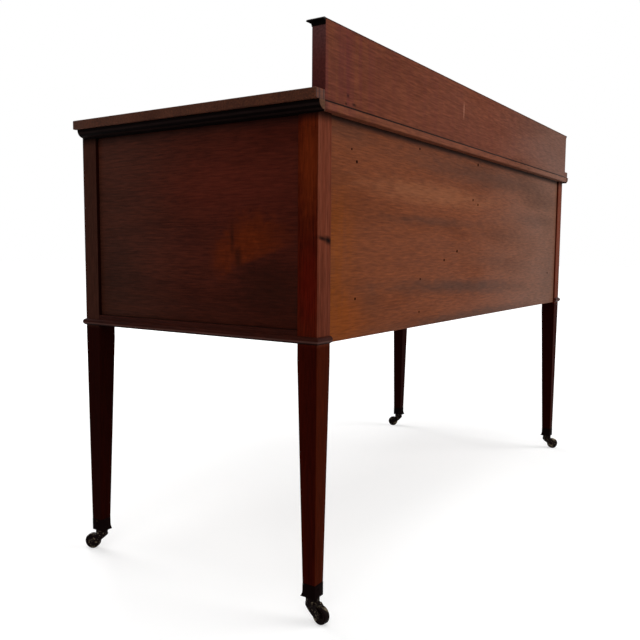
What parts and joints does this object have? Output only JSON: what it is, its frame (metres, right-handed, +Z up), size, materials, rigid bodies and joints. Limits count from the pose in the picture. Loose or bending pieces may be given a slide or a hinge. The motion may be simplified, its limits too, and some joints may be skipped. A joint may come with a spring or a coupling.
{
  "type": "writing table",
  "caption": "Mahogany kneehole writing table on tapered legs with brass castors, drawers with drop handles, a leather writing surface and a low gallery along the back.",
  "frame": {"origin": "on the floor under the middle of the table's overall box", "axes": "+X towards the right-hand end, +Y from the drawer front to the back, +Z up"},
  "size_m": [1.226, 0.5264, 0.855],
  "materials": {
    "case_mahogany": "aged french polish",
    "back_mahogany": "thin worn polish",
    "dark_moulding": "dark polish",
    "lining_wood": "bare oak",
    "aged_brass": "darkened brass",
    "writing_leather": "waxed hide"
  },
  "bodies": {
    "case": {"top_board": "case_mahogany", "writing_leather": "writing_leather", "gallery_board": "back_mahogany", "gallery_moulding": "dark_moulding", "side_mouldings": "dark_moulding", "back_strip": "back_mahogany", "side_panel_right": "case_mahogany", "side_panel_left": "case_mahogany", "side_rails": "case_mahogany", "back_panel": "back_mahogany", "front_top_rail": "case_mahogany", "back_top_rail": "lining_wood", "kneehole_stiles": "case_mahogany", "drawer_dividers": "case_mahogany", "bottom_rails": "case_mahogany", "kneehole_rail": "case_mahogany", "kneehole_brackets": "case_mahogany", "partition_right": "case_mahogany", "partition_left": "case_mahogany", "pedestal_bottoms": "lining_wood", "kneehole_soffit": "lining_wood", "drawer_runners": "lining_wood", "drawer_kickers": "lining_wood", "base_beads": "case_mahogany", "castor_sockets": "aged_brass", "leg_front_right": "case_mahogany", "leg_back_right": "case_mahogany", "leg_front_left": "case_mahogany", "leg_back_left": "case_mahogany", "drawer_stops": "lining_wood"},
    "drawer_upper_right": {"drawer_front_upper_right": "case_mahogany", "drawer_box_upper_right": "lining_wood", "drawer_brass_upper_right": "aged_brass"},
    "bail_upper_right": {"bail_upper_right": "aged_brass"},
    "drawer_lower_right": {"drawer_front_lower_right": "case_mahogany", "drawer_box_lower_right": "lining_wood", "drawer_brass_lower_right": "aged_brass"},
    "bail_lower_right": {"bail_lower_right": "aged_brass"},
    "drawer_centre": {"drawer_front_centre": "case_mahogany", "drawer_box_centre": "lining_wood", "drawer_brass_centre": "aged_brass"},
    "bail_centre_left": {"bail_centre_left": "aged_brass"},
    "bail_centre_right": {"bail_centre_right": "aged_brass"},
    "drawer_upper_left": {"drawer_front_upper_left": "case_mahogany", "drawer_box_upper_left": "lining_wood", "drawer_brass_upper_left": "aged_brass"},
    "bail_upper_left": {"bail_upper_left": "aged_brass"},
    "drawer_lower_left": {"drawer_front_lower_left": "case_mahogany", "drawer_box_lower_left": "lining_wood", "drawer_brass_lower_left": "aged_brass"},
    "bail_lower_left": {"bail_lower_left": "aged_brass"},
    "castor_front_right": {"castor_horn_front_right": "aged_brass"},
    "wheel_front_right": {"castor_wheel_front_right": "aged_brass"},
    "castor_back_right": {"castor_horn_back_right": "aged_brass"},
    "wheel_back_right": {"castor_wheel_back_right": "aged_brass"},
    "castor_front_left": {"castor_horn_front_left": "aged_brass"},
    "wheel_front_left": {"castor_wheel_front_left": "aged_brass"},
    "castor_back_left": {"castor_horn_back_left": "aged_brass"},
    "wheel_back_left": {"castor_wheel_back_left": "aged_brass"}
  },
  "joints": [
    {"name": "drawer_upper_right_slide", "type": "slide", "parent": "case", "child": "drawer_upper_right", "axis": [0, -1, 0], "range_m": [0, 0.36]},
    {"name": "drawer_lower_right_slide", "type": "slide", "parent": "case", "child": "drawer_lower_right", "axis": [0, -1, 0], "range_m": [0, 0.36]},
    {"name": "drawer_centre_slide", "type": "slide", "parent": "case", "child": "drawer_centre", "axis": [0, -1, 0], "range_m": [0, 0.36]},
    {"name": "drawer_upper_left_slide", "type": "slide", "parent": "case", "child": "drawer_upper_left", "axis": [0, -1, 0], "range_m": [0, 0.36]},
    {"name": "drawer_lower_left_slide", "type": "slide", "parent": "case", "child": "drawer_lower_left", "axis": [0, -1, 0], "range_m": [0, 0.36]},
    {"name": "bail_upper_right_swing", "type": "hinge", "parent": "drawer_upper_right", "child": "bail_upper_right", "pos_m": [0.411, -0.25818, 0.6695], "axis": [-1, 0, 0], "range_deg": [0, 90]},
    {"name": "bail_lower_right_swing", "type": "hinge", "parent": "drawer_lower_right", "child": "bail_lower_right", "pos_m": [0.411, -0.25818, 0.51125], "axis": [-1, 0, 0], "range_deg": [0, 90]},
    {"name": "bail_centre_left_swing", "type": "hinge", "parent": "drawer_centre", "child": "bail_centre_left", "pos_m": [-0.145, -0.25818, 0.677], "axis": [-1, 0, 0], "range_deg": [0, 90]},
    {"name": "bail_centre_right_swing", "type": "hinge", "parent": "drawer_centre", "child": "bail_centre_right", "pos_m": [0.145, -0.25818, 0.677], "axis": [-1, 0, 0], "range_deg": [0, 90]},
    {"name": "bail_upper_left_swing", "type": "hinge", "parent": "drawer_upper_left", "child": "bail_upper_left", "pos_m": [-0.411, -0.25818, 0.6695], "axis": [-1, 0, 0], "range_deg": [0, 90]},
    {"name": "bail_lower_left_swing", "type": "hinge", "parent": "drawer_lower_left", "child": "bail_lower_left", "pos_m": [-0.411, -0.25818, 0.51125], "axis": [-1, 0, 0], "range_deg": [0, 90]},
    {"name": "castor_front_right_swivel", "type": "hinge", "parent": "case", "child": "castor_front_right", "pos_m": [0.5818, -0.23098, 0.037], "axis": [0, 0, 1], "continuous": true},
    {"name": "wheel_front_right_spin", "type": "hinge", "parent": "castor_front_right", "child": "wheel_front_right", "pos_m": [0.58844, -0.24663, 0.0135], "axis": [0.9205, 0.3907, 0], "continuous": true},
    {"name": "castor_back_right_swivel", "type": "hinge", "parent": "case", "child": "castor_back_right", "pos_m": [0.5818, 0.23261, 0.037], "axis": [0, 0, 1], "continuous": true},
    {"name": "wheel_back_right_spin", "type": "hinge", "parent": "castor_back_right", "child": "wheel_back_right", "pos_m": [0.58504, 0.2493, 0.0135], "axis": [-0.9816, 0.1908, 0], "continuous": true},
    {"name": "castor_front_left_swivel", "type": "hinge", "parent": "case", "child": "castor_front_left", "pos_m": [-0.5818, -0.23098, 0.037], "axis": [0, 0, 1], "continuous": true},
    {"name": "wheel_front_left_spin", "type": "hinge", "parent": "castor_front_left", "child": "wheel_front_left", "pos_m": [-0.5774, -0.24741, 0.0135], "axis": [0.9659, 0.2588, 0], "continuous": true},
    {"name": "castor_back_left_swivel", "type": "hinge", "parent": "case", "child": "castor_back_left", "pos_m": [-0.5818, 0.23261, 0.037], "axis": [0, 0, 1], "continuous": true},
    {"name": "wheel_back_left_spin", "type": "hinge", "parent": "castor_back_left", "child": "wheel_back_left", "pos_m": [-0.59382, 0.24464, 0.0135], "axis": [-0.7071, -0.7071, 0], "continuous": true}
  ]
}
